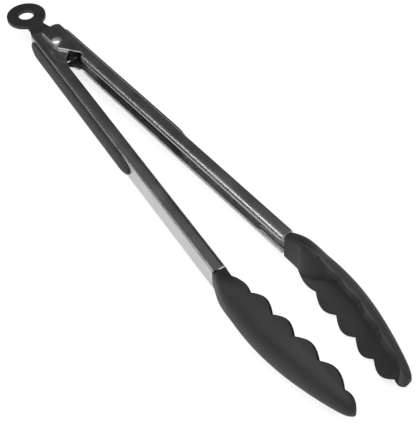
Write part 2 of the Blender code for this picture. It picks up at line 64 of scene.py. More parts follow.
PIVOT = Vector((middle("pivot_rivet").x, 0, middle("right_head").z))
HALF_OPENING = radians(3.3)
PLACE = {
    "pivot": Matrix.Translation(PIVOT),
    "right": Matrix.Translation(PIVOT) @ Matrix.Rotation(HALF_OPENING, 4, "Z"),
    "left": (Matrix.Translation(PIVOT) @ Matrix.Rotation(-HALF_OPENING, 4, "Z")
             @ Matrix.Rotation(pi, 4, "X")),
}

# Arm channel
ARM_END = 195 * MM
WEB_Y_PIVOT = 10.3 * MM
WEB_Y_END = 11.7 * MM
CHANNEL_HALF = 6.3 * MM
WALL = 0.9 * MM
BEND_RADIUS = 1.3 * MM
LIP_RADIUS = 2.4 * MM
SLOT_HALF = 3.7 * MM
LIP_START = 19.4 * MM
LIP_Y = ((LIP_START, 3.0 * MM), (54 * MM, 3.2 * MM), (ARM_END, 4.1 * MM))
LIP_ROUND = 1.2 * MM
LIP_TURN_UP = 0.4 * MM
EDGE_BREAK = 0.14 * MM
GAP = 0.3 * MM
EAR_TOP = -14 * MM
WEB_TOP = -12 * MM
EAR_LOWER_Y = -2.3 * MM
EAR_LOWER_END = 5.4 * MM
EAR_CORNER = 2.6 * MM
DIAGONAL_END = 16.1 * MM
NOTCH_Y = 5.5 * MM
INNER_CURVE_START = 10.3 * MM
INNER_CURVE_END = 20.5 * MM
JOGGLE = WALL + GAP
JOGGLE_RUN = (12 * MM, 23 * MM)
JOGGLE_RISE = (4.6 * MM, 9.8 * MM)
FAR_LIP_RUN = (13 * MM, 25 * MM)
EAR_SLOPE = (7 * MM, 11 * MM)
WEB_STRIPE = 2.5 * MM

# Pivot stack
HOLE_RADIUS = 2.15 * MM
RIVET_RADIUS = 2.0 * MM
RIVET_HEAD_RADIUS = 2.75 * MM
RIVET_DOME = 1.1 * MM
RIVET_LAND = 0.25 * MM
RIVET_PLAY = 0.15 * MM
SHANK_END = -CHANNEL_HALF - 0.9 * MM
SOCKET_END = -CHANNEL_HALF - 1.05 * MM
SLEEVE_RADIUS = 3.0 * MM
SPOOL_BORE = 2.25 * MM
SPOOL_RADIUS = 4.5 * MM
SPOOL_HALF = 4.05 * MM
SPOOL_EDGE = 0.25 * MM
WASHER_BORE = 3.2 * MM
WASHER_LOW = 0.65 * MM
WASHER_HIGH = 0.95 * MM
SPRING_WIRE = 1.0 * MM
SPRING_RADIUS = 3.8 * MM
SPRING_PITCH = 1.3 * MM
SPRING_LEG_X = 21.5 * MM
SPRING_BOTTOM = 1.65 * MM

# Lock
LOCK_THICKNESS = 0.8 * MM
RING_X = -38.7 * MM
RING_RADIUS = 11.15 * MM
RING_HOLE = 4.5 * MM
RING_THICKNESS = 2.2 * MM
TONGUE_END = -27 * MM
TONGUE_HALF = 3.0 * MM
NECK_END = -9.5 * MM
LOCK_TRAVEL = 7 * MM
LOCK_HALF = 5.7 * MM
SHOULDER_HALF = 8.6 * MM
SHOULDER_FLAT = (-1.8 * MM, 2.4 * MM)
SHOULDER_FOOT = (-3.2 * MM, 6 * MM)
SLOT_PLAY = 0.25 * MM
POCKET_HALF_WIDTH = 3.3 * MM
POCKET_HALF_DEPTH = 0.6 * MM
SLOT_END_WALL = 2.4 * MM
RING_JOIN = 4.7
# Half widths of the ring's neck in millimetres, by place along it.
NECK_SHAPE = ((-25.5, RING_JOIN), (-22.5, 5.5), (-19.5, 6.5), (-16.5, 7.3), (-12, 7.6),
              (-9.5, 6.4))

# Grips, strips and tangs
GRIP_START = -11.5 * MM
GRIP_END = 110 * MM
GRIP_HALF = 5.3 * MM
GRIP_GAP = 0.2 * MM
GRIP_ROUNDING = (7 * MM, 12 * MM)
GRIP_CROWN = (1.4, 1.9)
STRIP_HALF = 4.6 * MM
STRIP_THICKNESS = 1.2 * MM
STRIP_START = 26 * MM
STRIP_END = 104 * MM
STUD_PLACES = (32 * MM, 65 * MM, 98 * MM)
STUD_HOLE = 1.95 * MM
STUD_RADIUS = 1.6 * MM
STUD_HEAD_RADIUS = 2.6 * MM
STUD_TIP_RADIUS = 1.8 * MM
STUD_HEAD_HEIGHT = 0.7 * MM
TANG_START = 174 * MM
TANG_END = 203.5 * MM
TANG_Y = 8.0 * MM
TANG_HALF = 4.7 * MM
TANG_THICKNESS = 1.2 * MM
TANG_CORNER = 2.5 * MM
TANG_ROOM = 0.2 * MM

# Heads, in millimetres: place along the arm, back height, wall edge height, half width.
HEAD_START = 196.3
HEAD_TIP = 291.8
HEAD_SHAPE = (
    (195, 11.6, 4.9, 6.1),
    (206, 14.6, 6.9, 10.0),
    (220, 15.7, 6.6, 12.6),
    (237, 15.1, 5.2, 13.3),
    (253, 12.4, 3.5, 13.3),
    (268, 8.6, 0.8, 11.5),
    (280, 4.8, -1.1, 8.8),
    (287, 2.2, -2.1, 6.6),
    (290.4, 0.5, -2.6, 4.6),
    (HEAD_TIP, -0.7, -2.7, 2.2),
)
OPENING_OUT = (195, 220)
ROOT_HOLLOWS = (203.5, 232)
TIP_FILLS = (280, 289)
LOBES = (205, 220, 236.5, 252, 267.5, 283.5, HEAD_TIP)
LOBE_HEIGHT = 3.6
LOBE_LEAN = (-0.7, 0.71)
LOBE_SHARE = {LOBES[0]: 0.5, LOBES[-2]: 0.3}
LOBE_ROUNDING = 0.12
STAND_REACH = 0.62
HEAD_WALL = 2.0
HEAD_EDGE = 0.35 * MM

# Studio. Lights: distance, azimuth, elevation, width, height, power.
FLOOR_TONE = 0.3
FLOOR_GLOW = 0.78
SKY = 0.04
LIGHT_AIM = Vector((0, 0, 0.01))
LIGHTS = {
    "overhead": (1.3, -35, 66, 1.2, 0.9, 20),
    "left_side": (1.0, 232, 42, 0.2, 0.3, 1.3),
    "front_left": (1.0, -95, 45, 0.35, 0.3, 2.2),
    "far_panel": (1.2, 150, 64, 0.5, 0.35, 0.25),
}

# Camera: place from the pivot in metres, angles in degrees, focal length in millimetres.
CAMERA_PLACE = Vector((0.5486, -0.2306, 0.4574))
CAMERA_YAW = radians(149.65)
CAMERA_PITCH = radians(45.10)
CAMERA_ROLL = radians(-3.45)
CAMERA_LENS = 112.8


# ------------------------------------------------------------------ small helpers

def ease(low, high, x):
    t = min(max((x - low) / (high - low), 0.0), 1.0)
    return t * t * (3 - 2 * t)


def mix(a, b, t):
    return a + (b - a) * t


def spread(low, high, steps):
    return [mix(low, high, i / steps) for i in range(steps + 1)]


def smooth_rows(rows, x):
    """The columns of rows at x, on a smooth curve through the rows."""
    last = len(rows) - 1
    i = 0
    while i < last - 1 and x > rows[i + 1][0]:
        i += 1
    span = rows[i + 1][0] - rows[i][0]
    t = (x - rows[i][0]) / span

    def slope(k, column):
        low, high = max(k - 1, 0), min(k + 1, last)
        return (rows[high][column] - rows[low][column]) / (rows[high][0] - rows[low][0])

    found = []
    for column in range(1, len(rows[0])):
        a, b = rows[i][column], rows[i + 1][column]
        rise_a, rise_b = slope(i, column) * span, slope(i + 1, column) * span
        value = (2 * t**3 - 3 * t**2 + 1) * a + (3 * t**2 - 2 * t**3) * b
        found.append(value + (t**3 - 2 * t**2 + t) * rise_a + (t**3 - t**2) * rise_b)
    return found


def arc(centre_x, centre_y, radius, start, end, steps):
    return [(centre_x + radius * cos(radians(a)), centre_y + radius * sin(radians(a)))
            for a in spread(start, end, steps)]


# ------------------------------------------------------------------ materials

def node(tree, kind, inputs=None, **settings):
    """A shader node; inputs maps a socket to a value or to another node's output."""
    made = tree.nodes.new(kind)
    for name, value in settings.items():
        setattr(made, name, value)
    for socket, value in (inputs or {}).items():
        if isinstance(value, bpy.types.NodeSocket):
            tree.links.new(value, made.inputs[socket])
        else:
            made.inputs[socket].default_value = value
    return made


def grey(value, tint=0.0):
    return (value * (1 - tint), value, value * (1 + tint), 1)


def ramp(tree, source, low, high, out_low, out_high):
    return node(tree, "ShaderNodeMapRange", {
        "Value": source, "From Min": low, "From Max": high, "To Min": out_low,
        "To Max": out_high}).outputs["Result"]


def noise(tree, place, scale, detail, roughness):
    return node(tree, "ShaderNodeTexNoise", {
        "Vector": place, "Scale": scale, "Detail": detail,
        "Roughness": roughness}).outputs["Fac"]


def blend_grey(tree, fac, low, high):
    return node(tree, "ShaderNodeMix", {
        0: fac, 6: low, 7: high}, data_type="RGBA").outputs[2]


def new_material(name, **constants):
    material = bpy.data.materials.new(name)
    material.use_nodes = True
    tree = material.node_tree
    shader = tree.nodes["Principled BSDF"]
    for socket, value in constants.items():
        shader.inputs[socket.replace("_", " ")].default_value = value
    place = node(tree, "ShaderNodeTexCoord").outputs["Object"]
    return material, tree, shader, place


def bump(tree, shader, height, strength, distance):
    made = node(tree, "ShaderNodeBump", {
        "Height": height, "Strength": strength, "Distance": distance})
    tree.links.new(made.outputs["Normal"], shader.inputs["Normal"])


def brushed_steel(name, dark, light, rough_low, rough_high, grain=(6, 1400, 1400)):
    """Steel with grain along its length and faint smudges."""
    material, tree, shader, place = new_material(name, Metallic=1.0)
    stretched = node(tree, "ShaderNodeMapping", {
        "Vector": place, "Scale": grain}).outputs["Vector"]
    lines = noise(tree, stretched, 1.0, 4.0, 0.6)
    smudge = noise(tree, place, 60.0, 4.0, 0.55)
    tone = blend_grey(tree, ramp(tree, lines, 0.3, 0.7, 0, 1), grey(dark), grey(light))
    tree.links.new(tone, shader.inputs["Base Color"])
    streaks = ramp(tree, lines, 0.3, 0.7, rough_low, rough_high)
    smears = ramp(tree, smudge, 0.35, 0.7, -0.03, 0.06)
    rough = node(tree, "ShaderNodeMath", {0: streaks, 1: smears}, operation="ADD")
    tree.links.new(rough.outputs[0], shader.inputs["Roughness"])
    bump(tree, shader, lines, 0.05, 0.00004)
    return material


def moulded(name, dark, light, rough_low, rough_high, speck=2600.0, strength=0.25,
            specular=0.5):
    """Moulded nylon or rubber: fine pebbled skin, faint clouds of tone and roughness."""
    material, tree, shader, place = new_material(name)
    shader.inputs["Specular IOR Level"].default_value = specular
    cloud = noise(tree, place, 90.0, 4.0, 0.6)
    pebble = noise(tree, place, speck, 2.0, 0.5)
    tone = blend_grey(tree, ramp(tree, cloud, 0.3, 0.7, 0, 1), grey(dark, 0.01),
                      grey(light, 0.01))
    tree.links.new(tone, shader.inputs["Base Color"])
    tree.links.new(ramp(tree, cloud, 0.3, 0.7, rough_low, rough_high),
                   shader.inputs["Roughness"])
    bump(tree, shader, pebble, strength, 0.00005)
    return material


ARM_STEEL = brushed_steel("arm_brushed_steel", 0.38, 0.48, 0.3, 0.38)
TANG_STEEL = brushed_steel("tang_satin_steel", 0.42, 0.55, 0.34, 0.46)
BRIGHT_STEEL = brushed_steel("bright_steel", 0.68, 0.78, 0.2, 0.28, grain=(300, 300, 300))
# Cut-edge steel: a rougher cut-face finish, with a base tone about twice the arm steel's that
# paints a highlight line along the sheet edges.
EDGE_HIGHLIGHT_STEEL = brushed_steel("cut_edge_highlight_steel", 0.75, 0.9, 0.5, 0.62, grain=(900, 900, 900))
RIVET_STEEL = brushed_steel("rivet_steel", 0.8, 0.9, 0.46, 0.52, grain=(300, 300, 300))
NYLON = moulded("black_nylon", 0.012, 0.017, 0.5, 0.62, specular=0.28)
RING_NYLON = moulded("ring_nylon", 0.016, 0.022, 0.42, 0.52, specular=0.35)
RUBBER = moulded("grip_rubber", 0.018, 0.025, 0.6, 0.74, speck=3400.0, strength=0.35,
                 specular=0.3)


# ------------------------------------------------------------------ mesh helpers

def finish_mesh(bm, name):
    bmesh.ops.recalc_face_normals(bm, faces=bm.faces)
    mesh = bpy.data.meshes.new(name)
    bm.to_mesh(mesh)
    bm.free()
    mesh.shade_smooth()
    return mesh


def surface_mesh(name, rows, loop=False, capped=False):
    """Quads through rows of points; loop closes each row, capped the two ends."""
    bm = bmesh.new()
    verts = [[bm.verts.new(point) for point in row] for row in rows]
    count = len(rows[0])
    for near, far in zip(verts, verts[1:]):
        for i in range(count if loop else count - 1):
            j = (i + 1) % count
            bm.faces.new((near[i], near[j], far[j], far[i]))
    if capped:
        bm.faces.new(verts[0])
        bm.faces.new(verts[-1])
    return finish_mesh(bm, name)


def new_piece(name, mesh, place, material, body=None, replaces=None):
    piece = bpy.data.objects.new(name, mesh)
    bpy.context.scene.collection.objects.link(piece)
    piece.matrix_world = place
    if material:
        mesh.materials.append(material)
    if body:
        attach(piece, body)
    if replaces:
        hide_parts(replaces)
    return piece


def cylinder(name, radius, depth, place, sides=48):
    bm = bmesh.new()
    bmesh.ops.create_cone(bm, cap_ends=True, segments=sides, radius1=radius, radius2=radius,
                          depth=depth)
    return new_piece(name, finish_mesh(bm, name), place, None)


def box(name, low, high, place):
    bm = bmesh.new()
    bmesh.ops.create_cube(bm, size=1)
    centre = (Vector(low) + Vector(high)) / 2
    size = Vector(high) - Vector(low)
    bmesh.ops.transform(bm, matrix=Matrix.Translation(centre) @ Matrix.Diagonal((*size, 1)),
                        verts=bm.verts)
    return new_piece(name, finish_mesh(bm, name), place, None)


def apply(piece):
    """Bakes a piece's modifiers into its mesh."""
    bpy.context.view_layer.update()
    graph = bpy.context.evaluated_depsgraph_get()
    mesh = bpy.data.meshes.new_from_object(piece.evaluated_get(graph))
    piece.modifiers.clear()
    piece.data = mesh


def cut(piece, cutters):
    for cutter in cutters:
        modifier = piece.modifiers.new("cut", "BOOLEAN")
        modifier.solver = "EXACT"
        modifier.object = cutter
    apply(piece)
    for cutter in cutters:
        bpy.data.objects.remove(cutter)


def round_edges(piece, width, segments=3, angle=35):
    modifier = piece.modifiers.new("edges", "BEVEL")
    modifier.width = width
    modifier.segments = segments
    modifier.limit_method = "ANGLE"
    modifier.angle_limit = radians(angle)
    modifier.use_clamp_overlap = True
    normals = piece.modifiers.new("normals", "WEIGHTED_NORMAL")
    normals.keep_sharp = False
    normals.weight = 90
    apply(piece)


def plate_mesh(name, outlines, thickness, edge=0.0, rounds=3):
    """A flat plate with rounded edges, from closed outlines; inner outlines are holes."""
    curve = bpy.data.curves.new(name, "CURVE")
    curve.dimensions = "2D"
    curve.fill_mode = "BOTH"
    curve.extrude = thickness / 2
    for outline in outlines:
        spline = curve.splines.new("POLY")
        spline.points.add(len(outline) - 1)
        for point, (x, y) in zip(spline.points, outline):
            point.co = (x, y, 0, 1)
        spline.use_cyclic_u = True
    holder = bpy.data.objects.new(name, curve)
    bpy.context.scene.collection.objects.link(holder)
    graph = bpy.context.evaluated_depsgraph_get()
    mesh = bpy.data.meshes.new_from_object(holder.evaluated_get(graph))
    bpy.data.objects.remove(holder)
    bm = bmesh.new()
    bm.from_mesh(mesh)
    bmesh.ops.remove_doubles(bm, verts=bm.verts, dist=0.00001)
    bmesh.ops.dissolve_limit(bm, angle_limit=radians(1), verts=bm.verts, edges=bm.edges)
    mesh = finish_mesh(bm, name)
    if edge:
        holder = bpy.data.objects.new(name, mesh)
        bpy.context.scene.collection.objects.link(holder)
        round_edges(holder, edge, rounds, 60)
        mesh = holder.data
        bpy.data.objects.remove(holder)
    return mesh


def turned_mesh(name, profile, steps=64):
    """A turned mesh from profile points (radius, z), top to bottom, closed if off the axis."""
    open_ended = profile[0][0] == 0
    bm = bmesh.new()
    rings = []
    for radius, z in profile:
        if radius == 0:
            rings.append([bm.verts.new((0, 0, z))])
        else:
            rings.append([bm.verts.new((radius * cos(a), radius * sin(a), z))
                          for a in [2 * pi * i / steps for i in range(steps)]])
    pairs = list(zip(rings, rings[1:]))
    if not open_ended:
        pairs.append((rings[-1], rings[0]))
    for one, two in pairs:
        for i in range(steps):
            j = (i + 1) % steps
            corners = [one[i % len(one)], one[j % len(one)], two[j % len(two)], two[i % len(two)]]
            bm.faces.new(list(dict.fromkeys(corners)))
    return finish_mesh(bm, name)


# ------------------------------------------------------------------ arms

def web_y(x):
    """Height of the web's outer face: the channel deepens gently towards the head."""
    return mix(WEB_Y_PIVOT, WEB_Y_END, x / ARM_END)


def lip_y(x):
    (x0, y0), (x1, y1), (x2, y2) = LIP_Y
    if x < x1:
        return mix(y0, y1, (x - x0) / (x1 - x0))
    return mix(y1, y2, (x - x1) / (x2 - x1))


def corner_rise(x):
    inside = EAR_TOP + EAR_CORNER - x
    if inside <= 0:
        return 0.0
    return EAR_CORNER - sqrt(max(EAR_CORNER**2 - inside**2, 0.0))


def outer_edge(x):
    if x <= EAR_LOWER_END:
        return EAR_LOWER_Y + corner_rise(x)
    share = min((x - EAR_LOWER_END) / (DIAGONAL_END - EAR_LOWER_END), 1.0)
    return mix(EAR_LOWER_Y, NOTCH_Y, share)


def inner_edge(x):
    if x <= INNER_CURVE_START:
        return EAR_LOWER_Y + corner_rise(x)
    left = max((INNER_CURVE_END - x) / (INNER_CURVE_END - INNER_CURVE_START), 0.0)
    return mix(lip_y(LIP_START), EAR_LOWER_Y, left**2.2)


def flange(x, outer):
    """Profile points (y, z) of one flange at x, from the web's bend to its free edge."""
    bend_line = lip_y(max(x, LIP_START)) + LIP_RADIUS
    full = LIP_RADIUS * pi / 2 + CHANNEL_HALF - LIP_RADIUS - SLOT_HALF
    offset_in = 0.0
    if outer and x < LIP_START:
        folded = 0.0
        bend_line = max(bend_line, outer_edge(x) + LIP_TURN_UP)
        strip = bend_line - outer_edge(x)
    elif outer:
        folded = 1.0
        out = min((x - LIP_START) / LIP_ROUND, 1.0)
        strip = mix(LIP_TURN_UP, full, sqrt(1 - (1 - out) ** 2))
    else:
        folded = ease(*FAR_LIP_RUN, x)
        strip = max(bend_line - inner_edge(x), full)
        offset_in = JOGGLE * (1 - ease(*JOGGLE_RUN, x))
    turn = folded * pi / 2
    top = web_y(x) - BEND_RADIUS
    points = [(y, CHANNEL_HALF) for y in spread(top, bend_line, 8)]
    for share in spread(0, 1, 12)[1:]:
        run = share * strip
        along = min(run, LIP_RADIUS * turn)
        angle = along / LIP_RADIUS
        rest = run - along
        down = LIP_RADIUS * sin(angle) + rest * cos(turn)
        in_z = LIP_RADIUS * (1 - cos(angle)) + rest * sin(turn)
        points.append((bend_line - down, CHANNEL_HALF - in_z))
    return [(y, z - offset_in * (1 - ease(*JOGGLE_RISE, y))) for y, z in points]


def channel_profile(x):
    near = flange(x, True)
    far = flange(x, False)
    bends = arc(web_y(x) - BEND_RADIUS, CHANNEL_HALF - BEND_RADIUS, BEND_RADIUS, 90, 0, 8)[1:]
    points = list(reversed(near))
    points += bends
    points += [(web_y(x), z) for z in (WEB_STRIPE, 0.0, -WEB_STRIPE)]
    points += [(y, -z) for y, z in reversed(bends)]
    points += [(y, -z) for y, z in far]
    return points


def arm_stations():
    stations = [EAR_TOP + EAR_CORNER * (1 - cos(a)) for a in spread(0, pi / 2, 8)]
    stations += spread(stations[-1], EAR_LOWER_END, 9)[1:]
    stations += spread(EAR_LOWER_END, DIAGONAL_END, 8)[1:]
    stations += [LIP_START - 1.5 * MM, LIP_START - 0.3 * MM]
    stations += [LIP_START + LIP_ROUND * (1 - cos(a)) for a in spread(0, pi / 2, 6)]
    stations += spread(LIP_START + LIP_ROUND, 32 * MM, 10)[1:]
    return stations + [40 * MM, 54 * MM, 80 * MM, 120 * MM, 160 * MM, ARM_END]


def arm_rows():
    rows = []
    for x in arm_stations():
        row = []
        for y, z in channel_profile(x):
            pull = (WEB_TOP - EAR_TOP) * ease(*EAR_SLOPE, y) * (1 - ease(EAR_TOP, 0, x))
            row.append((x + pull, y, z))
        rows.append(row)
    return rows


def make_arm(side):
    body, place = side + "_arm", PLACE[side]
    mesh = surface_mesh(body + "_steel", arm_rows())
    arm = new_piece(body + "_steel", mesh, place, ARM_STEEL, body, body)
    sheet = arm.modifiers.new("sheet", "SOLIDIFY")
    sheet.thickness = WALL
    sheet.offset = -1
    sheet.use_even_offset = True
    # The sheet's rim faces take the edge steel, whose light tone is a painted highlight.
    mesh.materials.append(EDGE_HIGHLIGHT_STEEL)
    sheet.material_offset_rim = 1
    cutters = [cylinder("hole", HOLE_RADIUS, 20 * MM, place)]
    for x in STUD_PLACES:
        turn = Matrix.Translation((x, web_y(x) - WALL / 2, 0)) @ Matrix.Rotation(pi / 2, 4, "X")
        cutters.append(cylinder("hole", STUD_HOLE, 4 * MM, place @ turn, 32))
    cut(arm, cutters)
    round_edges(arm, EDGE_BREAK, 2, 40)


# ------------------------------------------------------------------ grips and strips

def grip_rows():
    rows = []
    start_end, far_end = GRIP_ROUNDING
    stations = [GRIP_START + start_end * (1 - cos(a)) for a in spread(0, pi / 2, 14)]
    stations += spread(stations[-1], GRIP_END - far_end, 12)[1:]
    stations += [GRIP_END - far_end * (1 - sin(a)) for a in spread(0, pi / 2, 16)[1:]]
    for x in stations:
        end = start_end if x < (GRIP_START + GRIP_END) / 2 else far_end
        share = min(min(x - GRIP_START, GRIP_END - x) / end, 1.0)
        width = GRIP_HALF * max(sqrt(max(1 - (1 - share) ** 2, 0)), 0.1)
        height = mix(0.4, 1.0, min(share * 1.6, 1.0) ** 0.5)
        base = web_y(x) + GRIP_GAP
        crown = mix(*GRIP_CROWN, (x - GRIP_START) / GRIP_END)
        row = [(x, base, -width)]
        for turn in [sin(a) for a in spread(-pi / 2, pi / 2, 24)]:
            rise = mix(0.3, crown, sqrt(max(1 - turn * turn, 0)) ** 0.8) * MM
            row.append((x, base + rise * height, width * turn))
        row.append((x, base, width))
        rows.append(row)
    return rows


def strip_y():
    return web_y(STRIP_START) - WALL - GAP - STRIP_THICKNESS / 2


def stud_profile(x):
    top = web_y(x) + GRIP_GAP + 0.6 * MM
    head_top = strip_y() - STRIP_THICKNESS / 2 - GAP
    head_low = head_top - STUD_HEAD_HEIGHT
    return [(0, top), (STUD_RADIUS, top), (STUD_RADIUS, head_top),
            (STUD_HEAD_RADIUS, head_top), (STUD_HEAD_RADIUS, head_top - 0.15 * MM),
            (STUD_TIP_RADIUS, head_low), (0, head_low)]


def make_grip(side):
    body, place = side + "_arm", PLACE[side]
    mesh = surface_mesh(side + "_grip_rubber", grip_rows(), loop=True, capped=True)
    grip = new_piece(side + "_grip_rubber", mesh, place, RUBBER, body,
                     side + "_grip")
    round_edges(grip, 0.3 * MM, 3, 50)
    for i, x in enumerate(STUD_PLACES):
        turn = Matrix.Translation((x, 0, 0)) @ Matrix.Rotation(-pi / 2, 4, "X")
        name = f"{side}_grip_stud_{i + 1}"
        new_piece(name, turned_mesh(name, stud_profile(x), 32), place @ turn, RUBBER,
                  body)
    outline = arc(STRIP_START + STRIP_HALF, 0, STRIP_HALF, 90, 270, 20)
    outline += arc(STRIP_END - STRIP_HALF, 0, STRIP_HALF, -90, 90, 20)
    holes = [arc(x, 0, STUD_HOLE, 0, 350, 35) for x in STUD_PLACES]
    mesh = plate_mesh(side + "_strip", [outline] + holes, STRIP_THICKNESS, 0.2 * MM)
    turn = Matrix.Translation((0, strip_y(), 0)) @ Matrix.Rotation(pi / 2, 4, "X")
    new_piece(side + "_strip", mesh, place @ turn, NYLON, body,
              side + "_grip_strip")


# ------------------------------------------------------------------ heads and tangs

def lobe(x):
    for low, high in zip(LOBES, LOBES[1:]):
        if low <= x <= high:
            share = LOBE_SHARE.get(low, 1.0)
            swing = abs(sin(pi * (x - low) / (high - low))) ** 0.85
            return LOBE_HEIGHT * share * (hypot(swing, LOBE_ROUNDING) - LOBE_ROUNDING)
    return 0.0


def head_outer(x):
    """Half of a head's outer section (y, z), back to wall edge, in millimetres."""
    back, edge, half = smooth_rows(HEAD_SHAPE, x)
    opened = ease(*OPENING_OUT, x)
    lean = (LOBE_LEAN[0], LOBE_LEAN[1] * opened)
    reach = STAND_REACH * (back - edge)
    stand_y, stand_z = edge + 0.78 * reach, half - STAND_REACH * reach
    points = []
    for t in spread(0, 1, 20):
        turn = t * pi / 2
        boxy_y = edge + (back - edge) * max(cos(turn), 0.0) ** 0.4
        boxy_z = half * sin(turn) ** 0.4
        weights = ((1 - t) ** 3, 3 * (1 - t) ** 2 * t, 3 * (1 - t) * t * t, t**3)
        flared_y = sum(w * y for w, y in zip(weights, (back, back, stand_y, edge)))
        flared_z = sum(w * z for w, z in zip(weights, (0.0, STAND_REACH * half, stand_z, half)))
        points.append((mix(boxy_y, flared_y, opened), mix(boxy_z, flared_z, opened)))
    stand = lobe(x) / hypot(*lean)
    edge_y, edge_z = points[-1]
    for i in range(1, 7):
        share = i / 6
        points.append((edge_y + lean[0] * stand * share, edge_z + lean[1] * stand * share))
    return points


def head_inner(x, outer):
    """The inner half section: one wall in from the outer one, or filled up to the rim."""
    back, edge = outer[0][0], outer[-1][0]
    wall = min(HEAD_WALL, 0.32 * (back - edge), 0.42 * outer[-1][1])
    lean = (LOBE_LEAN[0], LOBE_LEAN[1] * ease(*OPENING_OUT, x))
    rim = edge - wall * lean[1] / hypot(*lean)
    hollow = ease(*ROOT_HOLLOWS, x) * (1 - ease(*TIP_FILLS, x))
    floor = mix(rim, back - wall, hollow)
    points = []
    for i, (y, z) in enumerate(outer):
        before, after = outer[max(i - 1, 0)], outer[min(i + 1, len(outer) - 1)]
        dy, dz = after[0] - before[0], after[1] - before[1]
        if i == 0:
            dy = 0.0
        length = hypot(dy, dz)
        if length < 1e-5:
            dy, dz, length = *lean, hypot(*lean)
        points.append((min(y - wall * dz / length, floor), max(z + wall * dy / length, 0.0)))
    return points


def head_rows():
    stations = spread(HEAD_START, LOBES[0], 5)
    for low, high in zip(LOBES, LOBES[1:]):
        steps = 22 if high - low > 10 else 12
        stations += [low + (high - low) * (1 - cos(a)) / 2 for a in spread(0, pi, steps)[1:]]
    rows = []
    for x in stations:
        outer = head_outer(x)
        inner = head_inner(x, outer)
        loop = [(y, z) for y, z in reversed(outer)] + [(y, -z) for y, z in outer[1:]]
        loop += [(y, -z) for y, z in reversed(inner)] + [(y, z) for y, z in inner[1:]]
        rows.append([(x * MM, y * MM, z * MM) for y, z in loop])
    return rows


def make_head(side):
    body, place = side + "_arm", PLACE[side]
    mesh = surface_mesh(side + "_head_nylon", head_rows(), loop=True, capped=True)
    head = new_piece(side + "_head_nylon", mesh, place, NYLON, body,
                     side + "_head")
    deep, wide = TANG_THICKNESS / 2 + TANG_ROOM, TANG_HALF + TANG_ROOM
    low = (ARM_END - 1 * MM, TANG_Y - deep, -wide)
    high = (TANG_END + GAP, TANG_Y + deep, wide)
    cut(head, [box("pocket", low, high, place)])
    round_edges(head, HEAD_EDGE, 3, 50)
    centre_x, centre_y = TANG_START + TANG_CORNER, TANG_HALF - TANG_CORNER
    outline = arc(centre_x, -centre_y, TANG_CORNER, 270, 180, 10)
    outline += arc(centre_x, centre_y, TANG_CORNER, 180, 90, 10)
    outline += [(TANG_END, TANG_HALF), (TANG_END, -TANG_HALF)]
    mesh = plate_mesh(side + "_tang", [outline], TANG_THICKNESS, 0.15 * MM)
    turn = Matrix.Translation((0, TANG_Y, 0)) @ Matrix.Rotation(pi / 2, 4, "X")
    new_piece(side + "_tang", mesh, place @ turn, TANG_STEEL, body,
              side + "_head_tang")


# ------------------------------------------------------------------ pivot and lock

def dome(base, up):
    """A domed rivet head with a small flat land, from its top on the axis to its rim."""
    points = [(RIVET_HEAD_RADIUS * sin(a) if a else 0.0,
               base + up * (RIVET_LAND + RIVET_DOME * cos(a)))
              for a in spread(0, pi / 2, 14)]
    return points + [(RIVET_HEAD_RADIUS, base)]


def turned_piece(name, profile, material, node_name):
    new_piece(name, turned_mesh(name, profile), PLACE["pivot"], material, "pivot",
              node_name)


def make_pivot():
    base = CHANNEL_HALF + RIVET_PLAY
    profile = dome(base, 1)
    profile += [(RIVET_RADIUS, base), (RIVET_RADIUS, SHANK_END), (0, SHANK_END)]
    turned_piece("rivet", profile, RIVET_STEEL, "pivot_rivet")
    profile = [(0, SOCKET_END), (HOLE_RADIUS, SOCKET_END), (HOLE_RADIUS, -base)]
    profile += list(reversed(dome(-base, -1)))
    turned_piece("rivet_end", profile, RIVET_STEEL, "rivet_cap")
    shoulder = -LOCK_THICKNESS / 2 - RIVET_PLAY
    profile = [(SLEEVE_RADIUS - SPOOL_EDGE, SPOOL_HALF), (SLEEVE_RADIUS, SPOOL_HALF - SPOOL_EDGE),
               (SLEEVE_RADIUS, shoulder), (SPOOL_RADIUS - SPOOL_EDGE, shoulder),
               (SPOOL_RADIUS, shoulder - SPOOL_EDGE), (SPOOL_RADIUS, SPOOL_EDGE - SPOOL_HALF),
               (SPOOL_RADIUS - SPOOL_EDGE, -SPOOL_HALF), (SPOOL_BORE, -SPOOL_HALF),
               (SPOOL_BORE, SPOOL_HALF)]
    turned_piece("spool", profile, NYLON, "pivot_spool")
    profile = [(SPOOL_RADIUS, WASHER_HIGH), (SPOOL_RADIUS, WASHER_LOW),
               (WASHER_BORE, WASHER_LOW), (WASHER_BORE, WASHER_HIGH)]
    turned_piece("washer", profile, BRIGHT_STEEL, "spring_washer")


def spring_route():
    """Torsion spring centre line: left leg, coil, right leg, with a smooth turn into each."""
    reach = web_y(SPRING_LEG_X) - WALL - GAP - SPRING_WIRE / 2
    foot_x = SPRING_LEG_X * cos(HALF_OPENING) - reach * sin(HALF_OPENING)
    foot_y = SPRING_LEG_X * sin(HALF_OPENING) + reach * cos(HALF_OPENING)
    lift = atan2(foot_y, foot_x) + acos(SPRING_RADIUS / hypot(foot_x, foot_y))
    sweep = 2 * pi + 2 * (pi - lift)
    low, high = SPRING_BOTTOM, SPRING_BOTTOM + SPRING_PITCH * sweep / (2 * pi)
    coil = [(SPRING_RADIUS * cos(-lift - sweep * t), SPRING_RADIUS * sin(-lift - sweep * t),
             mix(low, high, t)) for t in spread(0, 1, 120)]
    first = [tuple(mix(a, b, t) for a, b in zip((foot_x, -foot_y, low), coil[0]))
             for t in spread(0, 1, 10)[:-1]]
    last = [tuple(mix(a, b, t) for a, b in zip(coil[-1], (foot_x, foot_y, high)))
            for t in spread(0, 1, 10)[1:]]
    return first + coil + last


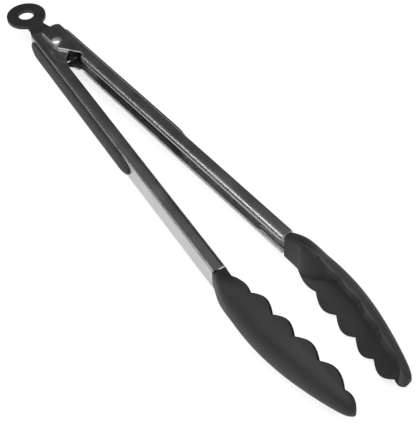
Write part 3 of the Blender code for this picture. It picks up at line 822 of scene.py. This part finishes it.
def tube_mesh(name, route, radius, sides=14):
    """A round wire along a route, its frame carried along without twist."""
    points = [Vector(p) for p in route]
    side = Vector((0, 0, 1))
    rows = []
    for i, point in enumerate(points):
        ahead = (points[min(i + 1, len(points) - 1)] - points[max(i - 1, 0)]).normalized()
        side = (side - ahead * side.dot(ahead)).normalized()
        other = ahead.cross(side)
        ring = [point + radius * (cos(a) * side + sin(a) * other)
                for a in [2 * pi * k / sides for k in range(sides)]]
        rows.append(ring)
    return surface_mesh(name, rows, loop=True, capped=True)


def make_spring():
    """Two halves that meet in the coil, both built at the pivot and baked in place."""
    route = spring_route()
    half = len(route) // 2
    for side, part in (("left", route[:half + 1]), ("right", route[half:])):
        name = side + "_spring_half"
        mesh = tube_mesh(name, part, SPRING_WIRE / 2)
        mesh.materials.append(BRIGHT_STEEL)
        spring = bpy.data.objects.new(name, mesh)
        bpy.context.scene.collection.objects.link(spring)
        spring.matrix_world = PLACE["pivot"]
        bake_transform(spring)
        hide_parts("torsion_spring")


def make_lock():
    slot_half = SLEEVE_RADIUS + SLOT_PLAY
    end = LOCK_TRAVEL + slot_half + SLOT_END_WALL
    (flat_start, flat_end), (foot_start, foot_end) = SHOULDER_FLAT, SHOULDER_FOOT
    half_outline = [(TONGUE_END, TONGUE_HALF), (NECK_END + 1 * MM, TONGUE_HALF),
                    (NECK_END + 3 * MM, LOCK_HALF), (foot_start, LOCK_HALF),
                    (flat_start, SHOULDER_HALF), (flat_end, SHOULDER_HALF),
                    (foot_end, LOCK_HALF), (end - 2 * MM, LOCK_HALF),
                    (end, LOCK_HALF - 2 * MM)]
    outline = half_outline + [(x, -y) for x, y in reversed(half_outline)]
    slot = arc(0, 0, slot_half, 90, 270, 24) + arc(LOCK_TRAVEL, 0, slot_half, -90, 90, 24)
    mesh = plate_mesh("lock_slide", [outline, slot], LOCK_THICKNESS, 0.12 * MM, 2)
    new_piece("lock_slide", mesh, PLACE["pivot"], BRIGHT_STEEL, "lock",
              "lock_plate")


def ring_outline():
    join = degrees(asin(RING_JOIN * MM / RING_RADIUS))
    places = spread(NECK_SHAPE[0][0], NECK_SHAPE[-1][0], 24)
    curve = [(x, smooth_rows(NECK_SHAPE, x)[0]) for x in places]
    low = [(x * MM, -y * MM) for x, y in curve]
    high = [(x * MM, y * MM) for x, y in reversed(curve)]
    return arc(RING_X, 0, RING_RADIUS, join, 360 - join, 110) + low + high


def make_ring():
    hole = arc(RING_X, 0, RING_HOLE, 0, 355, 71)
    mesh = plate_mesh("ring_nylon", [ring_outline(), hole], RING_THICKNESS)
    ring = new_piece("ring_nylon", mesh, PLACE["pivot"], RING_NYLON, "lock",
                     "pull_ring")
    low = (TONGUE_END - GAP, -POCKET_HALF_WIDTH, -POCKET_HALF_DEPTH)
    high = (NECK_END + 2 * MM, POCKET_HALF_WIDTH, POCKET_HALF_DEPTH)
    cut(ring, [box("pocket", low, high, PLACE["pivot"])])
    round_edges(ring, 0.55 * MM, 4, 60)


# ------------------------------------------------------------------ studio

def area_light(name, distance, azimuth, elevation, width, height, power):
    light = bpy.data.lights.new(name, "AREA")
    light.shape = "RECTANGLE"
    light.size = width
    light.size_y = height
    light.energy = power
    holder = bpy.data.objects.new(name, light)
    bpy.context.scene.collection.objects.link(holder)
    a, e = radians(azimuth), radians(elevation)
    away = Vector((cos(a) * cos(e), sin(a) * cos(e), sin(e)))
    holder.location = LIGHT_AIM + away * distance
    holder.rotation_euler = away.to_track_quat("Z", "Y").to_euler()


def make_studio():
    bm = bmesh.new()
    bmesh.ops.create_grid(bm, x_segments=1, y_segments=1, size=4)
    floor = bpy.data.objects.new("floor", finish_mesh(bm, "floor"))
    bpy.context.scene.collection.objects.link(floor)
    floor.location = (0, 0, -0.0005)
    material, _, shader, _ = new_material("floor", Roughness=0.9)
    shader.inputs["Base Color"].default_value = grey(FLOOR_TONE)
    shader.inputs["Emission Color"].default_value = grey(1.0)
    shader.inputs["Emission Strength"].default_value = FLOOR_GLOW
    floor.data.materials.append(material)
    world = bpy.data.worlds.new("studio")
    bpy.context.scene.world = world
    world.use_nodes = True
    background = world.node_tree.nodes["Background"]
    background.inputs["Color"].default_value = grey(1.0)
    background.inputs["Strength"].default_value = SKY
    for name, settings in LIGHTS.items():
        area_light(name, *settings)
    view = bpy.context.scene.view_settings
    view.view_transform = "Standard"
    view.look = "None"


def make_camera():
    """The camera stands to the front and left of the tips and looks down along the tongs."""
    ahead = Vector((cos(CAMERA_YAW) * cos(CAMERA_PITCH),
                    sin(CAMERA_YAW) * cos(CAMERA_PITCH), -sin(CAMERA_PITCH)))
    level = Vector((sin(CAMERA_YAW), -cos(CAMERA_YAW), 0))
    above = level.cross(ahead)
    right = cos(CAMERA_ROLL) * level + sin(CAMERA_ROLL) * above
    up = cos(CAMERA_ROLL) * above - sin(CAMERA_ROLL) * level
    data = bpy.data.cameras.new("camera")
    data.lens = CAMERA_LENS
    data.sensor_width = 36
    data.clip_start = 0.01
    camera = bpy.data.objects.new("camera", data)
    bpy.context.scene.collection.objects.link(camera)
    turn = Matrix((right, up, -ahead)).transposed().to_4x4()
    camera.matrix_world = Matrix.Translation(PIVOT + CAMERA_PLACE) @ turn
    bpy.context.scene.camera = camera


for side in ("right", "left"):
    make_arm(side)
    make_grip(side)
    make_head(side)
make_pivot()
make_spring()
make_lock()
make_ring()
make_studio()
make_camera()
